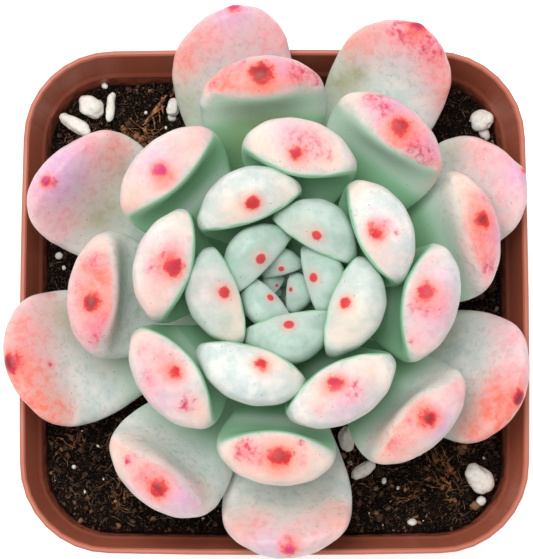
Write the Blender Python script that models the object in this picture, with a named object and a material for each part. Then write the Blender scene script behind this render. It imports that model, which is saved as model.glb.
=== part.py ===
"""A rosette succulent in a square plastic nursery pot, modelled at its real size.

Metres, +Z up. The origin is the middle of the pot's underside, on the surface that it stands on.
+X is the right of the photograph and +Y its top, because the photograph looks down on the plant.
Sizes below are in millimetres and degrees, and the constant MM turns them into metres.
"""

import math

import bmesh
import bpy
from mathutils import Matrix, Vector, noise
from mathutils.geometry import interpolate_bezier

MM = 0.001
GAP = 0.3  # clearance that touching pieces keep from each other

# The pot: a moulded square pot with a flared collar round its rim
RIM_WIDTH = 90.0
RIM_CORNER = 16.0
POT_HEIGHT = 80.0
WALL = 1.0
COLLAR_HEIGHT = 8.0
COLLAR_FLARE = 1.7  # how much wider the rim is than the collar's lower edge, on each side
COLLAR_LEDGE = 0.5  # how far the body steps in below the collar
FOOT_WIDTH = 65.0
FOOT_CORNER = 10.0
FOOT_HEIGHT = 2.5  # the floor is raised by this, so that water runs out below it
FOOT_RING = 2.2
FLOOR_THICKNESS = 1.5
PAD_WIDTH = 18.0  # the middle of the floor reaches down to the ground
PAD_CORNER = 4.0
SIDE_BOW = 0.3  # how far the middle of each side bulges
SIDE_POINTS = 3
CORNER_POINTS = 8
DRAIN_RADIUS = 3.0
DRAIN_RING = 20.0
DRAIN_COUNT = 8
NOTCH_WIDTH = 8.0

# The soil, which fills the pot to below the collar
SOIL_EDGE = 69.0
SOIL_CLEARANCE = 0.4  # from the pot's sides, which slope
SOIL_CROWN = 70.0
SOIL_LUMP = 0.9
SOIL_RINGS = 7

# The perlite that is large enough to be a piece of its own, at its place on the soil
GRAIN_LUMP = 0.25
GRAINS = (
    # x, y, length, width, height, bearing of the long side
    (-33.5, 36.5, 4.6, 3.8, 3.0, -25),
    (-36.3, 33.2, 6.4, 2.6, 2.4, -29),
    (-30.0, 36.5, 5.6, 1.6, 1.6, 86),
    (38.0, 34.0, 3.9, 3.6, 2.8, 30),
    (37.0, -31.5, 6.2, 4.0, 3.4, -47),
    (16.0, -30.0, 4.8, 2.2, 2.0, 33),
    (13.0, -24.5, 4.0, 2.8, 2.4, 100),
    (-18.5, 36.5, 3.6, 2.2, 2.2, 80),
)

# The stem and the places where the leaves leave it
AXIS = (1.4, -0.3)  # the plant stands a little off the pot's centre
STEM_ROOT = 54.0
STEM_APEX = 91.0
STEM_RADIUS = 5.2
STEM_FOOT_RADIUS = 4.2
LEAF_STACK = 18.0  # height of stem that carries leaves
STACK_POWER = 1.05
OLDEST = 34

# The spiral of leaves, youngest first
GOLDEN_ANGLE = 137.5
FIRST_BEARING = 177.0
SIDES = 12
BROW_START = 0.62  # share of the blade's length where its upper face starts to swell

# How the leaves change with their number in the spiral: how wide the blade is, how thick it gets below and
# above its midrib, how far its edges cup upwards, how high its tip stands and which way the tip points (90
# is straight up, and more leans over the middle). The thickness above comes late, as a plump brow.
GROWTH = (
    # number, width, thickness below, thickness above, cup, tip height, tip direction
    (1, 5.5, 2.2, 0.8, 0.5, 95.0, 125),
    (2, 7.0, 3.5, 1.1, 0.8, 97.0, 125),
    (3, 8.5, 3.0, 1.4, 1.0, 98.5, 125),
    (4, 10.5, 4.0, 1.8, 1.2, 101.0, 125),
    (7, 16.0, 5.2, 2.9, 2.0, 104.1, 125),
    (10, 18.5, 5.6, 3.6, 1.6, 106.8, 121),
    (14, 20.0, 5.9, 4.0, 0.6, 108.0, 117),
    (17, 20.5, 6.0, 4.4, 0.0, 107.0, 110),
    (20, 21.0, 5.6, 4.6, 0.0, 103.5, 88),
    (24, 22.5, 5.6, 4.6, 0.0, 98.5, 84),
    (26, 23.0, 5.4, 4.2, 0.0, 96.0, 70),
    (27, 23.3, 5.5, 2.4, 0.0, 94.8, 60),
    (28, 23.5, 5.5, 2.1, 0.0, 93.5, 50),
    (34, 22.5, 5.0, 1.9, 0.0, 88.0, 28),
)

# Each leaf as the photograph shows it: its number in the spiral, how far its tip drifts from the golden
# angle, how far the tip reaches from the axis, how far the point lies to the left of the blade's middle,
# how far the blade twists about its midrib, and how much wider it is than its neighbours. The leaf
# before the oldest one has dropped.
LEAVES = (
    (1, -38, 1.5, 0.0, 0, -1.0),
    (2, 45, 1.5, 0.0, 0, 0.0),
    (3, 3, 3.5, 0.0, 12, -1.5),
    (4, -8, 3.0, 0.0, 0, 0.0),
    (5, 8, 5.5, 0.0, 0, 0.0),
    (6, -14, 6.0, 0.0, 6, 0.5),
    (7, -4, 7.0, 0.0, 5, -0.5),
    (8, -4, 10.0, -0.5, 6, -1.0),
    (9, -8, 10.0, 0.0, 11, 0.0),
    (10, 7, 11.0, -0.5, 0, -0.5),
    (11, -1, 14.4, -0.5, 0, 0.0),
    (12, 6, 14.2, 2.0, -6, 0.5),
    (13, 1, 17.5, -1.0, -5, 0.0),
    (14, 8, 18.5, 1.0, -9, 0.0),
    (15, -5, 19.0, -1.0, 2, 0.5),
    (16, 5, 22.0, 0.5, -9, 0.0),
    (17, 3, 23.5, 0.0, -4, 0.5),
    (18, 2, 24.0, 1.0, -12, 0.5),
    (19, 5, 28.5, 1.5, -3, 1.0),
    (20, -1, 29.0, 0.5, -4, 0.0),
    (21, 7, 34.0, -1.5, -4, 1.5),
    (22, 0, 32.5, 2.5, -8, 1.0),
    (23, -4, 33.0, 1.0, -4, 0.5),
    (24, -4, 37.5, 0.0, 0, 0.5),
    (25, 1, 40.0, 1.5, -4, 0.0),
    (26, 5, 36.5, 0.0, -7, 0.5),
    (27, 3, 45.0, 3.5, -14, 0.5),
    (28, -18, 44.0, 1.0, 4, 0.0),
    (29, -4, 52.0, -0.5, 0, -1.5),
    (30, -10, 48.5, -0.5, 0, 2.0),
    (31, -6, 44.5, -1.0, 0, 1.5),
    (32, -20, 51.5, -2.0, 0, -0.5),
    (34, -7, 47.0, -2.0, -6, -1.0),
)


def clear_scene():
    for obj in list(bpy.data.objects):
        bpy.data.objects.remove(obj)


def make_material(name, colour, roughness):
    material = bpy.data.materials.new(name)
    material.use_nodes = True
    shader = material.node_tree.nodes["Principled BSDF"]
    shader.inputs["Base Color"].default_value = (*colour, 1.0)
    shader.inputs["Roughness"].default_value = roughness
    shader.inputs["Metallic"].default_value = 0.0
    return material


def make_object(name, mesh_source, material, smooth=math.radians(40)):
    """Links a bmesh as an object of its own, in metres."""
    bmesh.ops.scale(mesh_source, vec=(MM, MM, MM), verts=mesh_source.verts)
    bmesh.ops.recalc_face_normals(mesh_source, faces=mesh_source.faces)
    mesh = bpy.data.meshes.new(name)
    mesh_source.to_mesh(mesh)
    mesh_source.free()
    mesh.shade_smooth()
    mesh.set_sharp_from_angle(angle=smooth)
    mesh.materials.append(material)
    obj = bpy.data.objects.new(name, mesh)
    bpy.context.scene.collection.objects.link(obj)
    return obj


def loft(rings):
    """A closed skin through rings of equally many points. A ring of one point closes an end."""
    shape = bmesh.new()
    made = [[shape.verts.new(point) for point in ring] for ring in rings]
    for lower, upper in zip(made, made[1:]):
        count = max(len(lower), len(upper))
        for i in range(count):
            j = (i + 1) % count
            below = [lower[i % len(lower)], lower[j % len(lower)]]
            above = [upper[j % len(upper)], upper[i % len(upper)]]
            shape.faces.new(list(dict.fromkeys(below + above)))
    return shape


def rounded_square(width, corner, height):
    """The points of a square with round corners and slightly bowed sides, anticlockwise."""
    straight = width / 2 - corner
    points = []
    for quarter in range(4):
        turn = Matrix.Rotation(quarter * math.pi / 2, 3, "Z")
        centre = Vector((straight, straight, height))
        for step in range(SIDE_POINTS):
            share = 2 * (step + 1) / (SIDE_POINTS + 1) - 1
            points.append(turn @ Vector((width / 2 + SIDE_BOW * (1 - share**2), share * straight, height)))
        for step in range(CORNER_POINTS + 1):
            angle = step / CORNER_POINTS * math.pi / 2
            points.append(turn @ (centre + corner * Vector((math.cos(angle), math.sin(angle), 0))))
    return points


def circle(radius, height, count, centre=(0, 0)):
    middle = Vector((*centre, height))
    angles = [2 * math.pi * i / count for i in range(count)]
    return [middle + radius * Vector((math.cos(angle), math.sin(angle), 0)) for angle in angles]


def pot_outline(height):
    """Width and corner radius of the pot's outside at a height, below its collar."""
    share = height / (POT_HEIGHT - COLLAR_HEIGHT)
    inset = COLLAR_FLARE + COLLAR_LEDGE
    width = FOOT_WIDTH + (RIM_WIDTH - 2 * inset - FOOT_WIDTH) * share
    return width, FOOT_CORNER + (RIM_CORNER - inset - FOOT_CORNER) * share


def cut(obj, cutter_name, cutter_shape):
    """Takes a cutter's shape out of an object."""
    cutter = make_object(cutter_name, cutter_shape, obj.data.materials[0])
    cutter.hide_render = True
    cutter.display_type = "WIRE"
    modifier = obj.modifiers.new(cutter_name, "BOOLEAN")
    modifier.operation = "DIFFERENCE"
    modifier.object = cutter
    return cutter


def make_pot(material):
    collar_base = POT_HEIGHT - COLLAR_HEIGHT
    floor_top = FOOT_HEIGHT + FLOOR_THICKNESS
    foot_inner = FOOT_WIDTH - 2 * FOOT_RING
    body_top, body_corner = pot_outline(collar_base)
    floor_width, floor_corner = pot_outline(floor_top)
    collar_width = RIM_WIDTH - 2 * COLLAR_FLARE
    edge = 0.3  # rounding of the rim's two edges
    rings = [
        [Vector((0, 0, 0))],
        rounded_square(PAD_WIDTH, PAD_CORNER, 0),
        rounded_square(PAD_WIDTH, PAD_CORNER, FOOT_HEIGHT),
        rounded_square(foot_inner, FOOT_CORNER - FOOT_RING, FOOT_HEIGHT),
        rounded_square(foot_inner, FOOT_CORNER - FOOT_RING, 0),
        rounded_square(FOOT_WIDTH, FOOT_CORNER, 0),
        rounded_square(body_top, body_corner, collar_base - 0.6),
        rounded_square(collar_width, RIM_CORNER - COLLAR_FLARE, collar_base),
        rounded_square(RIM_WIDTH, RIM_CORNER, POT_HEIGHT - edge),
        rounded_square(RIM_WIDTH - 2 * edge, RIM_CORNER - edge, POT_HEIGHT),
        rounded_square(RIM_WIDTH - 2 * (WALL - edge), RIM_CORNER - WALL + edge, POT_HEIGHT),
        rounded_square(RIM_WIDTH - 2 * WALL, RIM_CORNER - WALL, POT_HEIGHT - edge),
        rounded_square(collar_width - 2 * WALL, RIM_CORNER - COLLAR_FLARE - WALL, collar_base + 1.0),
        rounded_square(body_top - 2 * WALL, body_corner - WALL, collar_base - 0.2),
        rounded_square(floor_width - 2 * WALL, floor_corner - WALL, floor_top),
        [Vector((0, 0, floor_top))],
    ]
    pot = make_object("pot", loft(rings), material)

    notches = bmesh.new()
    size = Matrix.Diagonal((4 * FOOT_RING, NOTCH_WIDTH, FOOT_HEIGHT, 1))
    for quarter in range(4):
        turn = Matrix.Rotation(quarter * math.pi / 2, 4, "Z")
        place = Matrix.Translation((FOOT_WIDTH / 2, 0, 0))
        bmesh.ops.create_cube(notches, size=1, matrix=turn @ place @ size)
    cut(pot, "foot_notch_cutter", notches)

    drains = bmesh.new()
    for i in range(DRAIN_COUNT):
        angle = 2 * math.pi * (i + 0.5) / DRAIN_COUNT
        place = Matrix.Translation((DRAIN_RING * math.cos(angle), DRAIN_RING * math.sin(angle), FOOT_HEIGHT))
        bmesh.ops.create_cone(
            drains, cap_ends=True, segments=16, radius1=DRAIN_RADIUS, radius2=DRAIN_RADIUS,
            depth=3 * FLOOR_THICKNESS, matrix=place,
        )
    cut(pot, "drain_cutter", drains)
    return pot


def soil_height(x, y):
    """Height of the soil's lumpy top, which is mounded towards the plant."""
    distance = math.hypot(x - AXIS[0], y - AXIS[1])
    mound = SOIL_EDGE + (SOIL_CROWN - SOIL_EDGE) * math.exp(-((distance / 22) ** 2))
    return mound + SOIL_LUMP * noise.noise(Vector((x, y, 0)) * 0.16)


def make_soil(material):
    bottom = FOOT_HEIGHT + FLOOR_THICKNESS + GAP
    low_width, low_corner = pot_outline(bottom)
    top_width, top_corner = pot_outline(SOIL_EDGE)
    side = WALL + SOIL_CLEARANCE
    low = rounded_square(low_width - 2 * side, low_corner - side, bottom)
    rim = rounded_square(top_width - 2 * side, top_corner - side, SOIL_EDGE)
    hole = STEM_FOOT_RADIUS + GAP
    throat = [Vector((AXIS[0], AXIS[1], 0)) + (p - Vector((*AXIS, p.z))).normalized() * hole for p in rim]
    rings = [[Vector((0, 0, bottom))], low]
    for step in range(SOIL_RINGS + 1):
        share = (step / SOIL_RINGS) ** 0.85
        ring = [outer.lerp(inner, share) for outer, inner in zip(rim, throat)]
        for point in ring:
            point.z = soil_height(point.x, point.y)
        rings.append(ring)
    rings.append([Vector((p.x, p.y, STEM_ROOT - GAP)) for p in throat])
    rings.append([Vector((*AXIS, STEM_ROOT - GAP))])
    return make_object("soil", loft(rings), material)


def make_grain(number, x, y, length, width, height, bearing, soil, material):
    """One crushed-glass lump, knobbly and blunt, lying on the soil."""
    shape = bmesh.new()
    bmesh.ops.create_icosphere(shape, subdivisions=2, radius=0.5)
    turn = Matrix.Rotation(math.radians(bearing), 3, "Z")
    size = Matrix.Diagonal((length, width, height))
    for vert in shape.verts:
        blunt = Vector([math.copysign(abs(2 * c) ** 0.85, c) / 2 for c in vert.co])
        lump = 1 + GRAIN_LUMP * noise.noise(vert.co * 3 + Vector((7 * number, 0, 0)))
        vert.co = turn @ (size @ blunt * lump)

    lift = -math.inf
    for vert in shape.verts:
        above = Vector((x + vert.co.x, y + vert.co.y, POT_HEIGHT)) * MM
        hit, ground, normal, face = soil.ray_cast(above, (0, 0, -1))
        lift = max(lift, ground.z / MM + GAP - vert.co.z)
    grain = make_object(f"perlite_{number}", shape, material)
    grain.location = (x * MM, y * MM, lift * MM)
    return grain


def growth(number):
    """The values of the GROWTH table at a leaf's number, in a straight line between its rows."""
    for before, after in zip(GROWTH, GROWTH[1:]):
        if number <= after[0]:
            share = (number - before[0]) / (after[0] - before[0])
            return [old + (new - old) * share for old, new in zip(before[1:], after[1:])]
    return GROWTH[-1][1:]


def leaf_root(number):
    """Radius and height of the place on the stem where a leaf leaves it."""
    radius = STEM_RADIUS * (1 - math.exp(-number / 7))
    drop = LEAF_STACK * ((number - 1) / (OLDEST - 1)) ** STACK_POWER
    return radius, STEM_APEX - drop


def make_stem(material):
    soft = 1.0  # rounding of the lower end
    rings = [
        [Vector((*AXIS, STEM_ROOT))],
        circle(STEM_FOOT_RADIUS - soft, STEM_ROOT, 16, AXIS),
        circle(STEM_FOOT_RADIUS, STEM_ROOT + soft, 16, AXIS),
    ]
    for number in range(OLDEST, 1, -3):
        radius, height = leaf_root(number)
        rings.append(circle(radius - 1.0, height, 16, AXIS))
    rings.append([Vector((*AXIS, leaf_root(1)[1] - 0.3))])
    return make_object("stem", loft(rings), material)


def heading(bearing, climb):
    """The unit vector that has a bearing and climbs at an angle, both in degrees."""
    flat = math.cos(math.radians(climb))
    turn = math.radians(bearing)
    return Vector((flat * math.cos(turn), flat * math.sin(turn), math.sin(math.radians(climb))))


def blade_half_width(along):
    """A blade's outline as a share of half its width: narrow at the base, widest past the middle."""
    widest = 0.68
    if along < widest:
        return 0.26 + 0.74 * math.sin(along / widest * math.pi / 2) ** 2.8
    return (1 - ((along - widest) / (1 - widest)) ** 2.3) ** 0.5


def blade_back(along):
    """How far the thickness below the midrib has come at a share of the blade's length."""
    thickest = 0.80
    if along < thickest:
        return 0.22 + 0.78 * (along / thickest) ** 1.7
    return (1 - ((along - thickest) / (1 - thickest)) ** 2.5) ** 0.5


def blade_brow(along):
    """The same for the thickness above the midrib, which rises late and ends bluntly."""
    thickest = 0.90
    if along < thickest:
        rise = max(0, (along - BROW_START) / (thickest - BROW_START))
        return 0.15 + 0.12 * along + 0.73 * rise * rise * (3 - 2 * rise)
    return (1 - ((along - thickest) / (1 - thickest)) ** 2.5) ** 0.5


def make_leaf(number, drift, reach, aside, twist, wider, material):
    """One plump leaf: rounded sections along a midrib that curls up, with a brow near the point."""
    width, below, above, cup, tip_height, tip_climb = growth(number)
    width += wider
    root_bearing = FIRST_BEARING + GOLDEN_ANGLE * (number - 1)
    bearing = root_bearing + drift
    across = heading(bearing + 90, 0)
    root_radius, root_height = leaf_root(number)
    root = heading(root_bearing, 0) * root_radius + Vector((0, 0, root_height))
    point = heading(bearing, 0) * reach + Vector((0, 0, tip_height))
    tip = point - across * aside
    chord = (tip - root).length
    rise = math.degrees(math.asin((tip.z - root.z) / chord))
    bend = 18 + 12 * (1 - number / OLDEST)
    setting_out = heading(root_bearing + drift * number / OLDEST, rise - bend)
    handle_out = root + 0.42 * chord * setting_out
    handle_in = tip - 0.30 * chord * heading(bearing, tip_climb)
    midrib = interpolate_bezier(root, handle_out, handle_in, tip, 101)

    steps = 12 if number > 6 else 8
    rings = [[root]]
    for step in range(steps):
        along = math.sin(step / steps * math.pi / 2)
        index = round(along * 100)
        ahead = (midrib[index + 1] - midrib[max(index - 1, 0)]).normalized()
        side = (across - ahead * across.dot(ahead)).normalized()
        side.rotate(Matrix.Rotation(math.radians(twist) * along, 3, ahead))
        upper = ahead.cross(side)
        centre = midrib[index] + side * aside * max(0, (along - 0.6) / 0.4) ** 3
        spread = blade_half_width(along)
        brow = above * blade_brow(along)
        back = below * blade_back(along)
        ring = []
        for i in range(SIDES):
            angle = 2 * math.pi * i / SIDES
            bulge = math.sin(angle)
            aside_share = math.cos(angle) * spread
            raised = (brow if bulge > 0 else -back) * abs(bulge) ** 0.92 + cup * aside_share**2
            ring.append(centre + side * aside_share * width / 2 + upper * raised)
        rings.append(ring)
    rings.append([point])
    leaf = make_object(f"leaf_{number:02d}", loft(rings), material)
    leaf.location = (AXIS[0] * MM, AXIS[1] * MM, 0)
    return leaf


def main():
    clear_scene()
    plastic = make_material("pot_plastic", (0.42, 0.15, 0.09), 0.45)
    soil = make_material("soil", (0.03, 0.022, 0.017), 0.95)
    bark = make_material("stem", (0.30, 0.33, 0.18), 0.8)
    skin = make_material("leaf_skin", (0.66, 0.80, 0.70), 0.5)
    perlite = make_material("perlite", (0.86, 0.84, 0.78), 0.9)
    make_pot(plastic)
    ground = make_soil(soil)
    bpy.context.view_layer.update()
    for number, row in enumerate(GRAINS, 1):
        make_grain(number, *row, ground, perlite)
    make_stem(bark)
    for row in LEAVES:
        make_leaf(*row, skin)


main()
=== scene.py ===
# %% [markdown]
# # A rosette succulent in a square nursery pot
#
# The model that the CAD step packed is the frame of this scene: every leaf, the pot, the soil and the larger
# white grains already have their true size and place in it. This lesson gives them their looks. It makes
# the leaves rounder and paints their blushes, roughens the soil and strews it with crumbs, and sets
# up the light and the camera. All lengths are in metres, so MM turns millimetres into them.

# %% Frame, tools and units
import math
import random

import bmesh
import bpy
import numpy as np
from mathutils import Matrix, Vector, noise
from mathutils.bvhtree import BVHTree


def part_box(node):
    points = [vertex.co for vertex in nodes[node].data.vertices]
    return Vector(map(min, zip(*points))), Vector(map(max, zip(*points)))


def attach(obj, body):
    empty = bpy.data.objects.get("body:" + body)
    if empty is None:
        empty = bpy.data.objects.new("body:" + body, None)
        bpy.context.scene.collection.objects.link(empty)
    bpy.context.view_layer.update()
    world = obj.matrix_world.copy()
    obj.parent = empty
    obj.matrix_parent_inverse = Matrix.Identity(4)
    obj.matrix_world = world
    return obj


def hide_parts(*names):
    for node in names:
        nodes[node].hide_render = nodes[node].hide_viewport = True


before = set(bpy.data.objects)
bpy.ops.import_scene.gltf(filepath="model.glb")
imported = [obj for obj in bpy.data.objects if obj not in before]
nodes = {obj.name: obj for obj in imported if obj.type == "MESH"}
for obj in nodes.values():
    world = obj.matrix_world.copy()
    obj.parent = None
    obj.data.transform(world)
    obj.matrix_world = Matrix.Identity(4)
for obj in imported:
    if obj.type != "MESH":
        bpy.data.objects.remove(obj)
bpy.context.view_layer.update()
MM = 0.001

# %% [markdown]
# ## The camera
#
# The photograph looks almost straight down from about half a metre. Its picture is 533 by 559 pixels. A
# lens is described in Blender by its focal length for a 36 mm sensor along the picture's longer side, so
# a focal length measured in pixels is turned into millimetres by that ratio.

# %% Camera
PICTURE = (533, 559)
FOCAL_PIXELS = 2529
CAMERA_PLACE = Vector((-1.4, -51.4, 527.1)) * MM
CAMERA_TILT = math.radians(7)

camera_data = bpy.data.cameras.new("camera")
camera_data.sensor_width = 36
camera_data.lens = 36 * FOCAL_PIXELS / max(PICTURE)
camera = bpy.data.objects.new("camera", camera_data)
camera.location = CAMERA_PLACE
camera.rotation_euler = (CAMERA_TILT, 0, 0)
bpy.context.scene.collection.objects.link(camera)
bpy.context.scene.camera = camera
print("focal length", round(camera_data.lens, 1), "mm")


def ray_through(x, y):
    """The direction in which the camera sees a pixel of the photograph."""
    right = x - PICTURE[0] / 2
    up = PICTURE[1] / 2 - y
    direction = Vector((right, up, -FOCAL_PIXELS)).normalized()
    return camera.rotation_euler.to_matrix() @ direction


# %% [markdown]
# ## Light and floor
#
# The picture is high-key: a white floor, hardly any shadow, and soft light from all round. A white world
# gives the even part of the light, and one large lamp above, a little to the upper left, models the forms.
# A second lamp is tiny. It adds almost no light, but it shows as a small glint on whatever is glossy.
# The Standard view keeps whites white.

# %% Light and floor
WORLD_STRENGTH = 0.60
SOFTBOX_PLACE = Vector((-0.13, 0.12, 0.75))
SOFTBOX_SIZE = 0.5
SOFTBOX_POWER = 3.6
GLINT_PLACE = Vector((-0.05, 0.17, 0.78))
GLINT_SIZE = 0.035
GLINT_POWER = 0.16
FLOOR_GLOW = 0.45

scene = bpy.context.scene
scene.view_settings.view_transform = "Standard"
world = bpy.data.worlds.new("studio")
world.use_nodes = True
world.node_tree.nodes["Background"].inputs["Color"].default_value = (1, 1, 1, 1)
world.node_tree.nodes["Background"].inputs["Strength"].default_value = WORLD_STRENGTH
scene.world = world


def hang_lamp(name, place, size, power):
    """A round lamp that faces the middle of the plant."""
    data = bpy.data.lights.new(name, "AREA")
    data.shape = "DISK"
    data.size = size
    data.energy = power
    lamp = bpy.data.objects.new(name, data)
    lamp.location = place
    lamp.rotation_euler = (Vector((0, 0, 0.1)) - place).to_track_quat("-Z", "Y").to_euler()
    scene.collection.objects.link(lamp)


hang_lamp("softbox", SOFTBOX_PLACE, SOFTBOX_SIZE, SOFTBOX_POWER)
hang_lamp("glint", GLINT_PLACE, GLINT_SIZE, GLINT_POWER)


def link_mesh(name, shape):
    """A bmesh as a smooth object in the scene."""
    mesh = bpy.data.meshes.new(name)
    shape.to_mesh(mesh)
    shape.free()
    mesh.shade_smooth()
    made = bpy.data.objects.new(name, mesh)
    scene.collection.objects.link(made)
    return made


floor_shape = bmesh.new()
bmesh.ops.create_grid(floor_shape, x_segments=1, y_segments=1, size=3)
floor = link_mesh("floor", floor_shape)

# %% [markdown]
# ## Building materials from nodes
#
# Each finish here is a Principled BSDF whose colour, roughness and bump come from textures. Three small
# helpers keep the node code short: one adds a node and wires its inputs, one mixes two colours, and one
# turns the colours that a paint chart gives, from 0 to 255, into the linear light that shaders use.

# %% Helpers for materials


def chart(red, green, blue):
    """A colour chart's 0 to 255 as the linear colour that a shader takes."""
    shares = [c / 255 for c in (red, green, blue)]
    linear = [s / 12.92 if s <= 0.04045 else ((s + 0.055) / 1.055) ** 2.4 for s in shares]
    return (*linear, 1.0)


def start_material(name):
    material = bpy.data.materials.new(name)
    material.use_nodes = True
    return material, material.node_tree, material.node_tree.nodes["Principled BSDF"]


def add(tree, kind, wires=None, **settings):
    """Adds a node, sets its options, and wires or sets its inputs."""
    made = tree.nodes.new(kind)
    for option, value in settings.items():
        setattr(made, option, value)
    for socket, value in (wires or {}).items():
        if isinstance(value, bpy.types.NodeSocket):
            tree.links.new(value, made.inputs[socket])
        else:
            made.inputs[socket].default_value = value
    return made


def mix(tree, share, first, second, blend="MIX"):
    """Colours mixed by a share from 0 to 1."""
    blender = add(tree, "ShaderNodeMix", {0: share, 6: first, 7: second}, data_type="RGBA", blend_type=blend)
    return blender.outputs[2]


def ramp(tree, value, low, high, bottom=0.0, top=1.0, smooth=True):
    """Turns a value between low and high into one between bottom and top."""
    wires = {0: value, 1: low, 2: high, 3: bottom, 4: top}
    kind = "SMOOTHSTEP" if smooth else "LINEAR"
    return add(tree, "ShaderNodeMapRange", wires, interpolation_type=kind).outputs[0]


def maths(tree, operation, first, second=0.0):
    return add(tree, "ShaderNodeMath", {0: first, 1: second}, operation=operation).outputs[0]


def grain(tree, size, detail=4.0, roughness=0.55, distortion=0.0):
    """Noise over the object's own coordinates, with features of about a given size in mm."""
    place = add(tree, "ShaderNodeTexCoord").outputs["Object"]
    wires = {"Vector": place, "Scale": 1 / (size * MM), "Detail": detail, "Roughness": roughness}
    made = add(tree, "ShaderNodeTexNoise", {**wires, "Distortion": distortion})
    return made.outputs["Fac"]


def painted(tree, name):
    """What was painted on the points of the mesh under a name."""
    return add(tree, "ShaderNodeAttribute", attribute_name=name).outputs["Fac"]


def bump(tree, shader, height, depth, strength=1.0):
    """Relief of a given depth in mm."""
    wires = {"Height": height, "Distance": depth * MM, "Strength": strength}
    tree.links.new(add(tree, "ShaderNodeBump", wires).outputs[0], shader.inputs["Normal"])


material, tree, shader = start_material("floor_paper")
cloud = grain(tree, 400, detail=2)
paper = mix(tree, cloud, chart(250, 250, 250), chart(254, 254, 254))
tree.links.new(paper, shader.inputs["Base Color"])
tree.links.new(paper, shader.inputs["Emission Color"])
shader.inputs["Emission Strength"].default_value = FLOOR_GLOW
shader.inputs["Roughness"].default_value = 0.9
floor.data.materials.append(material)

# %% Helpers for points


def points_of(mesh):
    flat = np.empty(len(mesh.vertices) * 3, np.float32)
    mesh.vertices.foreach_get("co", flat)
    return flat.reshape(-1, 3)


def normals_of(mesh):
    flat = np.empty(len(mesh.vertices) * 3, np.float32)
    mesh.vertices.foreach_get("normal", flat)
    return flat.reshape(-1, 3)


def paint(mesh, name, values):
    """Keeps a value for each point of a mesh under a name."""
    layer = mesh.attributes.get(name) or mesh.attributes.new(name, "FLOAT", "POINT")
    layer.data.foreach_set("value", np.ascontiguousarray(values, np.float32))


# %% [markdown]
# ## The pot
#
# The real pot is moulded from thin terracotta-coloured plastic. Its shape in the frame is right, so only
# its finish is made here: a satin skin with faint flow clouds, very fine moulding grain, darker patches low
# inside the wall just above the soil, and a painted highlight on the lip, where the plastic is lighter.

# %% Pot finish
WALL_STRAIGHT = 28.8 * MM  # from the pot's middle to where its sides start to turn round the corner
WALL_MIDDLE = 13.2 * MM  # from the corner's centre to the middle of the wall, just above the soil

material, tree, shader = start_material("moulded_terracotta")
place = add(tree, "ShaderNodeTexCoord").outputs["Object"]
height = add(tree, "ShaderNodeSeparateXYZ", {0: place}).outputs["Z"]
flow = grain(tree, 26, detail=5)
plastic = mix(tree, ramp(tree, flow, 0.3, 0.7), chart(170, 90, 67), chart(180, 98, 74))
# Painted highlight: the plastic on the lip is lighter where it catches the light.
lip_highlight = ramp(tree, height, 79.3 * MM, 79.9 * MM)
plastic = mix(tree, lip_highlight, plastic, chart(186, 106, 84))
# Darker patches low inside the wall, just above the soil, and none on the outside.
low_on_wall = ramp(tree, height, 73 * MM, 69.5 * MM)
above_foot = ramp(tree, height, 66.8 * MM, 67.6 * MM)
level = add(tree, "ShaderNodeVectorMath", {0: place, 1: (1, 1, 0)}, operation="MULTIPLY").outputs[0]
level = add(tree, "ShaderNodeVectorMath", {0: level}, operation="ABSOLUTE").outputs[0]
straight = (WALL_STRAIGHT, WALL_STRAIGHT, 0)
level = add(tree, "ShaderNodeVectorMath", {0: level, 1: straight}, operation="SUBTRACT").outputs[0]
level = add(tree, "ShaderNodeVectorMath", {0: level, 1: (0, 0, 0)}, operation="MAXIMUM").outputs[0]
from_corner = add(tree, "ShaderNodeVectorMath", {0: level}, operation="LENGTH").outputs["Value"]
inside = ramp(tree, from_corner, WALL_MIDDLE + 0.1 * MM, WALL_MIDDLE - 0.1 * MM)
# dust holds the darker patches low inside the wall.
dust = maths(tree, "MULTIPLY", maths(tree, "MULTIPLY", low_on_wall, above_foot), inside)
dust = maths(tree, "MULTIPLY", dust, ramp(tree, grain(tree, 2.2), 0.42, 0.62))
plastic = mix(tree, maths(tree, "MULTIPLY", dust, 0.7), plastic, chart(60, 34, 26))
tree.links.new(plastic, shader.inputs["Base Color"])
tree.links.new(ramp(tree, grain(tree, 9), 0.3, 0.7, 0.38, 0.5), shader.inputs["Roughness"])
shader.inputs["Specular IOR Level"].default_value = 0.4
bump(tree, shader, grain(tree, 0.35, detail=2), 0.02, 0.6)
nodes["pot"].data.materials[0] = material
print("pot finish on", nodes["pot"].name)

# %% [markdown]
# ## The soil
#
# Potting mix is a dark, fibrous crumb. Three layers make it here. The first is the ground itself: a copy of
# the frame's soil, divided finely and pushed about by noise of several sizes, which leaves hollows and
# clods. The second is thousands of loose crumbs. The third is fibres and bark, which catch the light.

# %% Soil ground
SOIL_FACE = 1.1 * MM
CLOD = 1.0 * MM
CRUMB_RELIEF = 0.6 * MM


def merged_copy(node, also_quads=True):
    """A copy of a frame node with its loose triangles merged, and turned back into quads away from its poles."""
    shape = bmesh.new()
    shape.from_mesh(node.data)
    bmesh.ops.remove_doubles(shape, verts=shape.verts, dist=0.001 * MM)
    if also_quads:
        poles = {v for v in shape.verts if len(v.link_edges) > 10}
        sides = [f for f in shape.faces if not poles.intersection(f.verts)]
        bmesh.ops.join_triangles(
            shape, faces=sides, angle_face_threshold=math.pi, angle_shape_threshold=math.pi, topology_influence=2
        )
    return shape


def rough(place, size):
    """Noise between about -1 and 1 with features of a given size in mm."""
    return noise.noise(place / (size * MM))


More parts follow.
